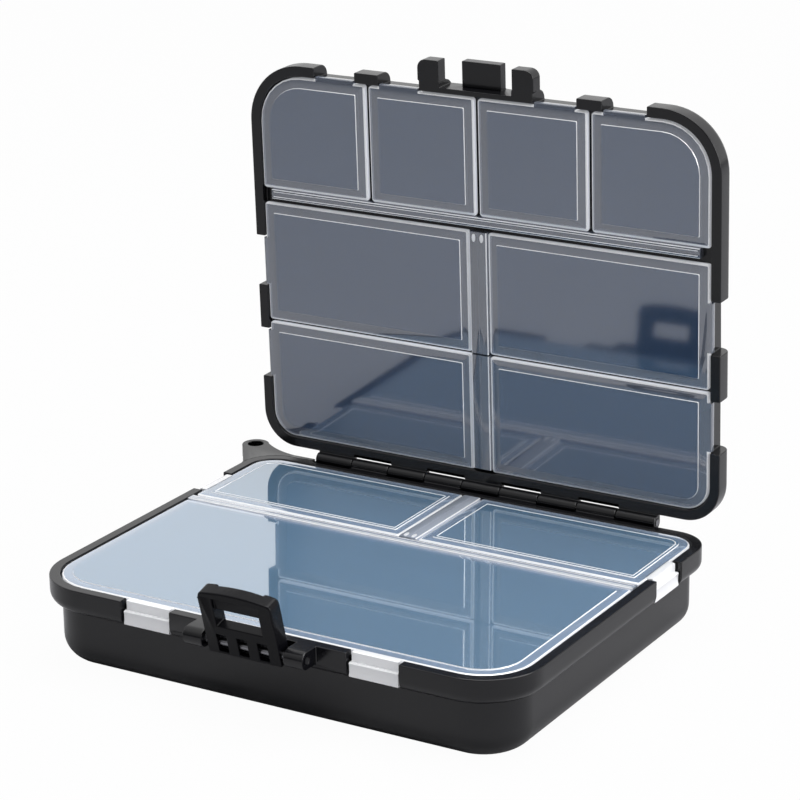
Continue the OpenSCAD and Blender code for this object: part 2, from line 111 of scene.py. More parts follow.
@dataclass(frozen=True)
class BoxSizes:
    """Sizes of the box in millimetres, the same as the part's own."""

    width: float = 120.0
    depth: float = 94.0
    base_height: float = 19.5
    parting_gap: float = 0.4
    hinge_offset: float = 1.8
    rim: float = 2.4
    rim_back: float = 2.4
    front_radius: float = 14.0
    back_radius: float = 8.6
    seat_depth: float = 1.7
    lid_lift: float = 0.1
    lid_thickness: float = 1.5
    panel_rise: float = 0.2
    frame_width: float = 2.4
    lid_gap: float = 0.3
    top_lid_gap: float = 0.5
    bead_gap: float = 0.1
    strip_width: float = 2.3
    spine_width: float = 4.4
    spine_gap: float = 0.4
    spine_end_gap: float = 0.8
    row_gap: float = 1.1
    base_row: float = 32.6
    low_row: float = 31.3
    top_row: float = 61.0
    top_pitch: float = 28.3
    side_tab: float = 11.4
    top_tab: float = 10.0
    front_tab: float = 11.6
    front_tab_x: float = 28.0
    top_tab_x: float = 8.5
    low_tab_v: float = 23.0
    mid_tab_v: float = 46.0
    tab_thickness: float = 1.0
    tab_drop: float = 5.4
    lip_drop: float = 2.2
    lip_step: float = 0.8
    lip_side: float = 0.3
    base_tab_inset: float = 0.5
    upper_tab_inset: float = 2.0
    latch_axis: Point2 = (-50.3, 17.5)
    latch_tilt: float = 15.0
    latch_top: float = 13.5

    @property
    def seat_x(self) -> float:
        """Half the width of the step that the lids lie in."""
        return self.width / 2 - self.rim

    @property
    def lid_x(self) -> float:
        """Distance from the middle to the outer edge of a lid."""
        return self.seat_x - self.lid_gap

    @property
    def lid_front(self) -> float:
        """Distance from the hinge side to the latch side edge of a lid."""
        return self.depth - self.rim - self.lid_gap

    @property
    def lid_low(self) -> float:
        """Height of a lid's underside against the rim's top."""
        return self.lid_lift - self.seat_depth

    @property
    def bead(self) -> float:
        """Radius of the round hinge edge of a lid."""
        return self.lid_thickness / 2

    @property
    def lid_top(self) -> float:
        """Height of a lid's panel against the rim's top."""
        return self.lid_low + self.lid_thickness + self.panel_rise

    @property
    def spine_edge(self) -> float:
        """Distance from the middle to the hinge edge of a lid on a spine."""
        return self.spine_width / 2 + self.bead_gap

    def row_edge(self, row: float) -> float:
        """Distance from the hinge side to the hinge edge of a row of lids beyond a rib."""
        return row + self.row_gap / 2 + self.strip_width + self.bead_gap


SIZES = BoxSizes()


class Tray(Enum):
    """The two trays, each of which has its own coordinates.

    In a tray, x runs across, y from the hinge side to the latch side, and z = 0 is the
    top of the rim, with the tray below it.
    """

    BASE = "base"
    UPPER = "upper"

    @property
    def matrix(self) -> Matrix:
        """Where the tray lies.

        Returns:
            The matrix from the tray's millimetres to the row frame's metres.
        """
        scale = Matrix.Scale(MM, 4)
        if self is Tray.BASE:
            origin = Matrix.Translation((0, SIZES.depth / 2 * MM, SIZES.base_height * MM))
            return origin @ Matrix.Rotation(math.pi, 4, "Z") @ scale
        hinge = next(joint for joint in frame["joints"] if joint["name"] == "main_hinge")
        opened = math.radians(-hinge["range_deg"][0])
        rim = Matrix.Translation((0, SIZES.hinge_offset * MM, -SIZES.parting_gap / 2 * MM))
        turn = Matrix.Rotation(math.pi - opened, 4, "X")
        return Matrix.Translation(hinge["pos_m"]) @ turn @ rim @ scale


# ---- node writing


class Sock:
    """A node's output that can be used in sums, which add the Math nodes they need."""

    def __init__(self, writer: "NodeWriter", socket: bpy.types.NodeSocket) -> None:
        """Keeps the socket and the writer of its tree.

        Args:
            writer: The writer that adds new nodes.
            socket: The output that holds the value.
        """
        self.writer = writer
        self.socket = socket

    def _math(self, operation: str, first: "Value", second: "Value") -> "Sock":
        """Adds one Math node on two values."""
        return self.writer.node("ShaderNodeMath", {"operation": operation}, {0: first, 1: second})

    def __add__(self, other: "Value") -> "Sock":
        """Sum."""
        return self._math("ADD", self, other)

    def __radd__(self, other: "Value") -> "Sock":
        """Sum with a number on the left."""
        return self._math("ADD", other, self)

    def __sub__(self, other: "Value") -> "Sock":
        """Difference."""
        return self._math("SUBTRACT", self, other)

    def __rsub__(self, other: "Value") -> "Sock":
        """Difference with a number on the left."""
        return self._math("SUBTRACT", other, self)

    def __mul__(self, other: "Value") -> "Sock":
        """Product."""
        return self._math("MULTIPLY", self, other)

    def __rmul__(self, other: "Value") -> "Sock":
        """Product with a number on the left."""
        return self._math("MULTIPLY", other, self)

    def clamped(self) -> "Sock":
        """The value held between 0 and 1."""
        return self.writer.node("ShaderNodeClamp", {}, {"Value": self})

    def at_least(self, other: "Value") -> "Sock":
        """The larger of the two values."""
        return self._math("MAXIMUM", self, other)


Value = Sock | float


class NodeWriter:
    """Adds nodes to a tree, with a call for each."""

    def __init__(self, tree: bpy.types.NodeTree) -> None:
        """Keeps the tree that nodes are added to."""
        self.tree = tree

    def add(
        self, kind: str, settings: dict[str, object], inputs: dict[str | int, object]
    ) -> bpy.types.Node:
        """Adds a node.

        Args:
            kind: The node's type.
            settings: Its properties, which are set first.
            inputs: Values or links of its input sockets, by name or number.

        Returns:
            The node.
        """
        made = self.tree.nodes.new(kind)
        for key, value in settings.items():
            setattr(made, key, value)
        for key, value in inputs.items():
            if isinstance(value, Sock):
                self.tree.links.new(value.socket, made.inputs[key])
            else:
                made.inputs[key].default_value = value
        return made

    def node(
        self,
        kind: str,
        settings: dict[str, object],
        inputs: dict[str | int, object],
        output: str | int = 0,
    ) -> Sock:
        """Adds a node, as add does, and gives back one of its outputs.

        Args:
            kind: The node's type.
            settings: Its properties.
            inputs: Values or links of its input sockets.
            output: Name or number of the output.

        Returns:
            The output.
        """
        return Sock(self, self.add(kind, settings, inputs).outputs[output])


class Shader(NodeWriter):
    """The node tree of a material or a world, written as expressions."""

    def __init__(self, owner: Finish | bpy.types.World) -> None:
        """Empties the owner's node tree.

        Args:
            owner: The material or the world that is written.
        """
        owner.use_nodes = True
        super().__init__(owner.node_tree)
        self.owner = owner
        self.tree.nodes.clear()

    @classmethod
    def material(cls, name: str) -> "Shader":
        """Starts a new material of that name."""
        return cls(bpy.data.materials.new(name))

    def here(self) -> Sock:
        """The point on the object in its own coordinates."""
        return self.node("ShaderNodeTexCoord", {}, {}, "Object")

    def noise(self, scale: float, detail: float = 2.0, stretch: Point3 = (1, 1, 1)) -> Sock:
        """Noise of about a size.

        Args:
            scale: Number of waves in a metre.
            detail: How many finer layers it has.
            stretch: Factors on the three axes.

        Returns:
            The noise.
        """
        placed = {"Vector": self.here(), "Scale": stretch}
        mapped = self.node("ShaderNodeMapping", {"vector_type": "POINT"}, placed)
        return self.node("ShaderNodeTexNoise", {}, {"Vector": mapped, "Scale": scale, "Detail": detail})

    def bump(self, height: Sock, distance: float, strength: float) -> Sock:
        """A normal from a height.

        Args:
            height: The height, 0 to 1.
            distance: The height in metres that 1 stands for.
            strength: How much of it shows.

        Returns:
            The normal.
        """
        values = {"Height": height, "Distance": distance, "Strength": strength}
        return self.node("ShaderNodeBump", {}, values)

    def mix(self, factor: Sock, first: Colour, second: Colour) -> Sock:
        """Mixes two colours by a factor."""
        values = {0: factor, 6: (*first, 1), 7: (*second, 1)}
        return self.node("ShaderNodeMix", {"data_type": "RGBA"}, values, 2)

    def end(self, shader: Sock) -> Finish | bpy.types.World:
        """Ends the tree.

        Args:
            shader: The shader that the surface shows.

        Returns:
            The material or the world.
        """
        is_world = isinstance(self.owner, bpy.types.World)
        kind = "ShaderNodeOutputWorld" if is_world else "ShaderNodeOutputMaterial"
        self.add(kind, {}, {"Surface": shader})
        return self.owner


@dataclass(frozen=True)
class BlackPlastic:
    """Black moulded plastic with a fine satin skin."""

    name: str = "black_plastic"
    dark: Colour = srgb(9, 9, 12)
    light: Colour = srgb(13, 13, 17)
    roughness: float = 0.2
    ior: float = 1.44
    clouds_per_metre: float = 38.0
    cloud_spread: float = 0.06
    grains_per_metre: float = 5200.0
    grain_spread: float = 0.06
    grain_depth: float = 0.00001
    grain_strength: float = 0.35
    noise_layers: float = 3.0

    def material(self) -> Finish:
        """Writes the finish as a node tree.

        Returns:
            The material.
        """
        shader = Shader.material(self.name)
        cloud = shader.noise(self.clouds_per_metre, self.noise_layers)
        grain = shader.noise(self.grains_per_metre, self.noise_layers)
        rough = self.roughness + (cloud - NOISE_MEAN) * self.cloud_spread
        rough = rough + (grain - NOISE_MEAN) * self.grain_spread
        surface = shader.node("ShaderNodeBsdfPrincipled", {}, {
            "Base Color": shader.mix(cloud, self.dark, self.light),
            "Roughness": rough.clamped(),
            "IOR": self.ior,
            "Normal": shader.bump(grain, self.grain_depth, self.grain_strength),
        })
        return shader.end(surface)


@dataclass(frozen=True)
class ClearPlastic:
    """Clear plastic with a faint blue milkiness and a polished skin."""

    name: str
    tint: Colour
    second_tint: Colour
    transmission: float
    roughness: float
    gloss: float = 1.0
    gloss_roughness: float = 0.02
    gloss_ior: float = 2.0
    ior: float = 1.6
    clouds_per_metre: float = 24.0
    cloud_spread: float = 0.04
    waves_per_metre: float = 45.0
    wave_depth: float = 0.00002
    wave_strength: float = 0.35
    # Strength of a painted glow: the finish gives off light of its tint, though it is no lamp.
    edge_light: float = 0.0

    def material(self) -> Finish:
        """Writes the finish as a node tree.

        Returns:
            The material.
        """
        shader = Shader.material(self.name)
        cloud = shader.noise(self.clouds_per_metre)
        waves = shader.noise(self.waves_per_metre, detail=1.0)
        surface = shader.node("ShaderNodeBsdfPrincipled", {}, {
            "Base Color": shader.mix(cloud, self.tint, self.second_tint),
            "Roughness": (self.roughness + (cloud - NOISE_MEAN) * self.cloud_spread).clamped(),
            "IOR": self.ior,
            "Transmission Weight": self.transmission,
            "Coat Weight": self.gloss,
            "Coat Roughness": self.gloss_roughness,
            "Coat IOR": self.gloss_ior,
            "Normal": shader.bump(waves, self.wave_depth, self.wave_strength),
            # A painted glow: the surface gives off light of its tint, as strong as the glow field says.
            "Emission Color": (*self.tint, 1),
            "Emission Strength": self.edge_light,
        })
        return shader.end(surface)


@dataclass(frozen=True)
class SteelWire:
    """Drawn steel wire with fine lines round it."""

    name: str = "steel_wire"
    colour: Colour = srgb(112, 112, 116)
    worn: Colour = srgb(140, 140, 144)
    roughness: float = 0.34
    lines_per_metre: float = 300.0
    line_stretch: Point3 = (20, 1, 1)
    line_spread: float = 0.2

    def material(self) -> Finish:
        """Writes the finish as a node tree.

        Returns:
            The material.
        """
        shader = Shader.material(self.name)
        lines = shader.noise(self.lines_per_metre, stretch=self.line_stretch)
        surface = shader.node("ShaderNodeBsdfPrincipled", {}, {
            "Base Color": shader.mix(lines, self.colour, self.worn),
            "Metallic": 1.0,
            "Roughness": (self.roughness + (lines - NOISE_MEAN) * self.line_spread).clamped(),
        })
        return shader.end(surface)


class Finishes:
    """The box's finishes, each written once.

    The clear finishes are kept by tray, each list in the order of Face, and bars have no side finish. The
    base's lids are glossier than the upper tray's, and the upper tray's clear finishes are darker, greyer
    copies of the base's: painted shade for the upright tray. The near-white edge finish is a painted
    highlight, and the side finish a painted glow.
    """

    def __init__(self) -> None:
        """Writes every material."""
        self.black = BlackPlastic().material()
        self.latch_black = BlackPlastic("latch_black", roughness=0.26, ior=1.22).material()
        self.steel = SteelWire().material()
        # Near-white finish of edges, base tabs, fine lines and nubs: a painted highlight where the clear
        # plastic catches light.
        self.bright = ClearPlastic(
            "clear_edge_painted_highlight", srgb(248, 249, 252), srgb(252, 253, 255), 0.06, 0.15
        ).material()
        # The lids' side finish glows faintly: painted light standing in for light that runs inside the
        # clear plate.
        painted_glow_side = ClearPlastic(
            "clear_side_painted_glow", srgb(244, 246, 252), srgb(248, 250, 255), 0.06, 0.15, edge_light=0.32
        ).material()
        base_panel = ClearPlastic(
            "clear_panel", srgb(137, 177, 211), srgb(142, 183, 216), 0.55, 0.05, gloss_ior=2.3, ior=1.8
        ).material()
        base_flange = ClearPlastic(
            "clear_flange", srgb(162, 185, 212), srgb(170, 192, 218), 0.45, 0.08, gloss_ior=2.3
        ).material()
        base_bar = ClearPlastic(
            "clear_bar", srgb(192, 202, 218), srgb(201, 210, 224), 0.35, 0.08
        ).material()
        # The upper tray's clear finishes are darker, greyer copies of the base's: painted shade for the
        # upright tray, which the lamp above lights less.
        shaded_upper_panel = ClearPlastic(
            "clear_upper_panel_painted_shade", srgb(78, 104, 141), srgb(86, 112, 148), 0.55, 0.05, gloss_roughness=0.07
        ).material()
        shaded_upper_flange = ClearPlastic(
            "clear_upper_flange_painted_shade", srgb(110, 118, 134), srgb(120, 128, 144), 0.4, 0.08
        ).material()
        self.lids = {
            Tray.BASE: [base_panel, base_flange, self.bright, painted_glow_side],
            Tray.UPPER: [shaded_upper_panel, shaded_upper_flange, self.bright, painted_glow_side],
        }
        self.bars = {
            Tray.BASE: [base_panel, base_bar, self.bright],
            Tray.UPPER: [shaded_upper_panel, shaded_upper_flange, self.bright],
        }


# ---- mesh writing


class Face(Enum):
    """Which of a clear piece's finishes a face takes.

    A lid's sides have a finish of their own that glows faintly, painted light standing in for the light
    that runs inside the clear plate and leaves it there. The edge finish is near white, a painted
    highlight.
    """

    PANEL = 0
    FLANGE = 1
    EDGE = 2
    SIDE = 3


@dataclass
class Outline:
    """A rounded rectangle that every ring of a lid follows.

    Attributes:
        low: Lowest x and y.
        high: Highest x and y.
        radii: Corner radii, from low x and low y, anticlockwise.
        steps: Number of flats in a corner.
        least_radius: Radius that a corner keeps however far it is drawn in.
    """

    low: Point2
    high: Point2
    radii: FourSides
    steps: int = 7
    least_radius: float = 0.25

    def ring(self, insets: FourSides) -> list[Point2]:
        """Points of the outline drawn in from each side.

        Args:
            insets: How far it is drawn in at low x, low y, high x and high y.

        Returns:
            The points, anticlockwise, always the same number.
        """
        x0, y0 = self.low[0] + insets[0], self.low[1] + insets[1]
        x1, y1 = self.high[0] - insets[2], self.high[1] - insets[3]
        inner = min(insets)
        corners = ((x0, y0, 1, 1), (x1, y0, -1, 1), (x1, y1, -1, -1), (x0, y1, 1, -1))
        points = []
        for index, (x, y, sx, sy) in enumerate(corners):
            radius = max(self.radii[index] - inner, self.least_radius)
            middle = (x + sx * radius, y + sy * radius)
            for step in range(self.steps + 1):
                angle = math.pi * (1 + index / 2) + math.pi / 2 * step / self.steps
                turn = (radius * math.cos(angle), radius * math.sin(angle))
                points.append((middle[0] + turn[0], middle[1] + turn[1]))
        return points


class MeshWriter:
    """Collects faces for one piece in a tray's millimetres."""

    def __init__(self) -> None:
        """Starts an empty mesh."""
        self.mesh = bmesh.new()

    def loft(self, rings: Sequence[Sequence[Point3]], kinds: Sequence[Face]) -> None:
        """Joins rings of points to a closed solid, with a flat cap at each end.

        Args:
            rings: The rings, from the lower cap to the upper one, all as long.
            kinds: The kind of the band of faces after each ring, and of the last cap.
        """
        rows = [[self.mesh.verts.new(point) for point in ring] for ring in rings]
        count = len(rows[0])
        self.mesh.faces.new(list(reversed(rows[0]))).material_index = Face.PANEL.value
        for index, (row, after) in enumerate(zip(rows, rows[1:])):
            for at in range(count):
                nxt = (at + 1) % count
                made = self.mesh.faces.new((row[at], row[nxt], after[nxt], after[at]))
                made.material_index = kinds[index].value
        self.mesh.faces.new(rows[-1]).material_index = kinds[-1].value

    def add(self, data: bpy.types.Mesh, kind: Face) -> None:
        """Adds a finished mesh, and lets go of it.

        Args:
            data: The mesh, in the tray's millimetres.
            kind: The kind of its faces.
        """
        before = len(self.mesh.faces)
        self.mesh.from_mesh(data)
        self.mesh.faces.ensure_lookup_table()
        for face in self.mesh.faces[before:]:
            face.material_index = kind.value
        bpy.data.meshes.remove(data)

    def sweep(self, section: Sequence[Point2], start: Point3, along: Point3, side: Point3,
              up: Point3, kinds: Callable[[int], Face]) -> None:
        """Extrudes a closed section.

        Args:
            section: Its points, anticlockwise seen against the sweep.
            start: Where its origin starts.
            along: The sweep, with its length.
            side: Direction of the section's first axis.
            up: Direction of the section's second axis.
            kinds: Gives the kind of the face after each point.
        """
        sx, sy = Vector(side), Vector(up)
        near = [self.mesh.verts.new(Vector(start) + sx * a + sy * b) for a, b in section]
        far = [self.mesh.verts.new(vert.co + Vector(along)) for vert in near]
        for at in range(len(section)):
            nxt = (at + 1) % len(section)
            made = self.mesh.faces.new((near[at], near[nxt], far[nxt], far[at]))
            made.material_index = kinds(at).value
        self.mesh.faces.new(list(reversed(near))).material_index = kinds(0).value
        self.mesh.faces.new(far).material_index = kinds(0).value

    def done(self, name: str, tray: Tray, materials: Sequence[Finish]) -> Piece:
        """Lays the mesh into the row frame and makes an object of it.

        Args:
            name: The piece's name.
            tray: The tray whose coordinates it is in.
            materials: The materials of its kinds of faces.

        Returns:
            The object, at the origin.
        """
        bmesh.ops.transform(self.mesh, matrix=tray.matrix, verts=self.mesh.verts)
        bmesh.ops.recalc_face_normals(self.mesh, faces=self.mesh.faces)
        return to_object(self.mesh, name, materials)


def to_object(mesh: bmesh.types.BMesh, name: str, materials: Sequence[Finish],
              smooth_angle: float = SMOOTH_ANGLE) -> Piece:
    """Makes an object from a mesh being edited, and ends the editing.

    Args:
        mesh: The mesh.
        name: The object's name.
        materials: Its materials.
        smooth_angle: Edges sharper than this many degrees stay sharp.

    Returns:
        The object, linked to the scene.
    """
    data = bpy.data.meshes.new(name)
    mesh.to_mesh(data)
    mesh.free()
    for material in materials:
        data.materials.append(material)
    shade(data, smooth_angle)
    made = bpy.data.objects.new(name, data)
    bpy.context.scene.collection.objects.link(made)
    return made


def shade(data: bpy.types.Mesh, smooth_angle: float = SMOOTH_ANGLE) -> None:
    """Shades a mesh smooth, apart from edges sharper than an angle in degrees."""
    data.polygons.foreach_set("use_smooth", [True] * len(data.polygons))
    data.set_sharp_from_angle(angle=math.radians(smooth_angle))


def apply_modifiers(piece: Piece) -> None:
    """Turns a piece and its modifiers into one plain mesh.

    Args:
        piece: The piece, which keeps the new mesh.
    """
    graph = bpy.context.evaluated_depsgraph_get()
    result = bpy.data.meshes.new_from_object(piece.evaluated_get(graph), depsgraph=graph)
    piece.modifiers.clear()
    piece.data = result


def join_solid(piece: Piece, other: Piece) -> None:
    """Joins another closed solid to a piece.

    Args:
        piece: The piece that takes it in.
        other: The other solid, which is removed.
    """
    union = piece.modifiers.new("join", "BOOLEAN")
    union.operation = "UNION"
    union.solver = "EXACT"
    union.object = other
    apply_modifiers(piece)
    bpy.data.objects.remove(other)


# ---- shapes along paths


class NodeTool(NodeWriter):
    """A Geometry Nodes tree that turns a loose mesh into a finished one."""

    def __init__(self, name: str, sizes: dict[str, float]) -> None:
        """Starts the tree with its named inputs.

        Args:
            name: The tree's name.
            sizes: Its number inputs, by name.
        """
        super().__init__(bpy.data.node_groups.new(name, "GeometryNodeTree"))
        self.sizes = sizes
        sockets = self.tree.interface
        sockets.new_socket("Geometry", in_out="INPUT", socket_type="NodeSocketGeometry")
        self.keys = {
            label: sockets.new_socket(label, in_out="INPUT", socket_type="NodeSocketFloat").identifier
            for label in sizes
        }
        made = sockets.new_socket("Material", in_out="INPUT", socket_type="NodeSocketMaterial")
        self.material_key = made.identifier
        sockets.new_socket("Geometry", in_out="OUTPUT", socket_type="NodeSocketGeometry")
        self.given = self.add("NodeGroupInput", {}, {})

    def size(self, label: str) -> Sock:
        """The group's input of that name."""
        return Sock(self, self.given.outputs[label])

    def end(self, geometry: Sock) -> None:
        """Ends the tree in plain faces of the given material.

        Args:
            geometry: What the tree has made.
        """
        real = self.node("GeometryNodeRealizeInstances", {}, {"Geometry": geometry})
        material = self.size("Material")
        dressed = self.node("GeometryNodeSetMaterial", {}, {"Geometry": real, "Material": material})
        self.add("NodeGroupOutput", {}, {"Geometry": dressed})

    def run(
        self, points: Sequence[Point3], edges: Sequence[tuple[int, int]], material: Finish
    ) -> bpy.types.Mesh:
        """Runs the tree on points and edges.

        Args:
            points: The points, in a tray's millimetres.
            edges: The edges between them.
            material: The finish of what is made.

        Returns:
            The finished mesh.
        """
        data = bpy.data.meshes.new("path")
        data.from_pydata([tuple(point) for point in points], list(edges), [])
        holder = bpy.data.objects.new("path", data)
        bpy.context.scene.collection.objects.link(holder)
        modifier = holder.modifiers.new("tool", "NODES")
        modifier.node_group = self.tree
        for label, key in self.keys.items():
            modifier[key] = self.sizes[label]
        modifier[self.material_key] = material
        apply_modifiers(holder)
        made = holder.data
        bpy.data.objects.remove(holder)
        bpy.data.meshes.remove(data)
        return made


class BeadTool(NodeTool):
    """Lays a thin round bead along paths."""

    def __init__(self, name: str, radius: float, sides: int = 8) -> None:
        """Builds the tree.

        Args:
            name: The tree's name.
            radius: Radius of the bead in millimetres.
            sides: Number of sides of its section.
        """
        super().__init__(name, {"Bead Radius": radius})
        path = self.node("GeometryNodeMeshToCurve", {}, {"Mesh": self.size("Geometry")})
        section = self.node("GeometryNodeCurvePrimitiveCircle", {}, {
            "Resolution": sides,
            "Radius": self.size("Bead Radius"),
        })
        swept = self.node("GeometryNodeCurveToMesh", {}, {
            "Curve": path,
            "Profile Curve": section,
            "Fill Caps": True,
        })
        self.end(swept)

    def along(
        self, paths: Sequence[Sequence[Point3]], closed: bool, material: Finish
    ) -> bpy.types.Mesh:
        """Lays the bead along each path.

        Args:
            paths: The paths, each a list of points.
            closed: Whether each path runs back to its start.
            material: The bead's finish.

        Returns:
            The beads as one mesh.
        """
        points: list[Point3] = []
        edges: list[tuple[int, int]] = []
        for path in paths:
            first = len(points)
            points.extend(path)
            edges.extend((at, at + 1) for at in range(first, len(points) - 1))
            if closed:
                edges.append((len(points) - 1, first))
        return self.run(points, edges, material)


class NubTool(NodeTool):
    """Sets a small nub at each point, longer from the hinge side to the latch side."""

    def __init__(self, name: str, radius: float, height: float, stretch: float,
                 sides: int = 16) -> None:
        """Builds the tree.

        Args:
            name: The tree's name.
            radius: Half the width of a nub in millimetres.
            height: Its height.
            stretch: Its length over its width.
            sides: Number of its sides.
        """
        super().__init__(name, {"Nub Radius": radius, "Nub Height": height, "Nub Stretch": stretch})
        post = self.node("GeometryNodeMeshCone", {}, {
            "Vertices": sides,
            "Radius Bottom": self.size("Nub Radius"),
            "Radius Top": self.size("Nub Radius"),
            "Depth": self.size("Nub Height"),
        })
        scale = self.node("ShaderNodeCombineXYZ", {}, {"X": 1.0, "Y": self.size("Nub Stretch"), "Z": 1.0})
        placed = self.node("GeometryNodeInstanceOnPoints", {}, {
            "Points": self.size("Geometry"),
            "Instance": post,
            "Scale": scale,
        })
        self.end(placed)

    def at(self, points: Sequence[Point3], material: Finish) -> bpy.types.Mesh:
        """Sets a nub at each of the points and gives back the mesh."""
        return self.run(points, [], material)


# ---- black pieces


@dataclass(frozen=True)
class Moulding:
    """One black moulding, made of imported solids.

    Attributes:
        name: Its name.
        nodes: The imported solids, all on one body, which it stands for.
    """

    name: str
    nodes: tuple[str, ...]


@dataclass
class BlackParts:
    """The moulded black pieces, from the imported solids, with their edges rounded.

    Its own sizes are in metres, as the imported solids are, and its angles in degrees.

    Attributes:
        finishes: The box's finishes.
        mouldings: The pieces.
        merge: Corners nearer than this are one.
        flat_angle: Faces that meet at less than this angle are one.
        bevel_angle: Edges sharper than this are rounded.
        edge_round: Width of the rounding.
        edge_flats: Number of flats in it.
        latch_round: Width of the wider rounding round the latch's top.
        latch_flats: Number of flats in that.
        latch_round_from: Share of the latch's height at which it starts.
        latch_band: Edges within this of the latch's sides or top take it.
    """

    finishes: Finishes
    mouldings: tuple[Moulding, ...] = (
        Moulding("base_skin", ("base_shell",)),
        Moulding("upper_skin", ("upper_shell", "catch_ear_left", "catch_ear_right", "catch_tongue")),
        Moulding("latch_skin", ("latch",)),
    )
    merge: float = 0.000002
    flat_angle: float = 0.6
    bevel_angle: float = 34.0
    edge_round: float = 0.00022
    edge_flats: int = 2
    latch_round: float = 0.0009
    latch_flats: int = 5
    latch_round_from: float = 0.6
    latch_band: float = 0.0014

    def build(self) -> Iterable[Piece]:
        """Builds each moulding.

        Returns:
            The mouldings, one after the other.
        """
        for moulding in self.mouldings:
            piece = self._copy(moulding.nodes[0], moulding.name)
            for node in moulding.nodes[1:]:
                join_solid(piece, self._copy(node, node + "_copy"))
            if "latch" in moulding.nodes:
                self._round_latch_top(piece)
            yield self._finish(piece, moulding)

    def _copy(self, node: str, name: str) -> Piece:
        """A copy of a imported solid, with its triangles merged to whole faces.

        Args:
            node: The solid's node.
            name: The copy's name.

        Returns:
            The copy.
        """
        mesh = bmesh.new()
        mesh.from_mesh(frame["nodes"][node].data)
        bmesh.ops.remove_doubles(mesh, verts=mesh.verts, dist=self.merge)
        self._flatten(mesh)
        for face in mesh.faces:
            face.material_index = 0
        finish = self.finishes.latch_black if node == "latch" else self.finishes.black
        return to_object(mesh, name, [finish], self.bevel_angle)

    def _flatten(self, mesh: bmesh.types.BMesh) -> None:
        """Merges faces that lie in one plane."""
        bmesh.ops.dissolve_limit(
            mesh, angle_limit=math.radians(self.flat_angle), verts=mesh.verts, edges=mesh.edges
        )

    def _round_latch_top(self, piece: Piece) -> None:
        """Rounds the outer edges of the latch's upper part more than the others.

        Args:
            piece: The latch.
        """
        s, top = SIZES, SIZES.latch_top * MM
        tilt = math.radians(s.latch_tilt)
        axis = Vector((0, s.latch_axis[0] * MM, s.latch_axis[1] * MM))
        upright = Vector((0, -math.sin(tilt), math.cos(tilt)))
        mesh = bmesh.new()
        mesh.from_mesh(piece.data)
        half = max(abs(vert.co.x) for vert in mesh.verts)

        def outer(vert: bmesh.types.BMVert) -> bool:
            """Tells the outline's corners from those of the window and the slots.

            Args:
                vert: A corner.

            Returns:
                Whether it lies high up, and at a side or the top.
            """
            height = (vert.co - axis).dot(upright)
            at_side = abs(vert.co.x) > half - self.latch_band
            return height > top * self.latch_round_from and (at_side or height > top - self.latch_band)

        edges = [
            edge
            for edge in mesh.edges
            if len(edge.link_faces) == 2
            and edge.calc_face_angle(0) > math.radians(self.bevel_angle)
            and all(outer(vert) for vert in edge.verts)
        ]
        bmesh.ops.bevel(
            mesh, geom=edges, offset=self.latch_round, segments=self.latch_flats, profile=0.5,
            affect="EDGES", clamp_overlap=True
        )
        mesh.to_mesh(piece.data)
        mesh.free()

    def _finish(self, piece: Piece, moulding: Moulding) -> Piece:
        """Rounds a moulding's edges and fits it to the frame.

        Args:
            piece: The moulding's mesh.
            moulding: What it is made of.

        Returns:
            The piece.
        """
        mesh = bmesh.new()
        mesh.from_mesh(piece.data)
        self._flatten(mesh)
        mesh.to_mesh(piece.data)
        mesh.free()
        bevel = piece.modifiers.new("round", "BEVEL")
        bevel.width = self.edge_round
        bevel.segments = self.edge_flats
        bevel.limit_method = "ANGLE"
        bevel.angle_limit = math.radians(self.bevel_angle)
        bevel.harden_normals = True
        bevel.use_clamp_overlap = False
        apply_modifiers(piece)
        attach(piece, frame["nodes"][moulding.nodes[0]]["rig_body"])
        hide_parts(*moulding.nodes)
        return piece


# ---- clear lids


class HingeSide(Enum):
    """The side of a lid that its hinge is on, in the tray, by its place in a ring's insets."""

    LOW_X = 0
    LOW_Y = 1
    HIGH_X = 2


class TabSide(Enum):
    """A side of the tray that finger tabs stand at, by the way it faces in x and y."""

    LOW_X = (-1, 0)
    HIGH_X = (1, 0)
    HIGH_Y = (0, 1)


@dataclass(frozen=True)
class TabPlan:
    """One finger tab.

    Attributes:
        side: The side of the tray that it stands at.
        at: Place of its middle along that side.
        width: Its width.
    """

    side: TabSide
    at: float
    width: float


@dataclass(frozen=True)
class LidPlan:
    """One lid: where it lies in its tray, how its corners are rounded, and its tabs.

    Attributes:
        node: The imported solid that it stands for.
        body: The body that it moves with.
        tray: The tray that it lies in.
        low: Lowest x and y.
        high: Highest x and y.
        radii: Corner radii, from low x and low y, anticlockwise.
        hinge: The side that its hinge is on.
        tabs: Its finger tabs.
    """

    node: str
    body: str
    tray: Tray
    low: Point2
    high: Point2
    radii: FourSides
    hinge: HingeSide
    tabs: tuple[TabPlan, ...]


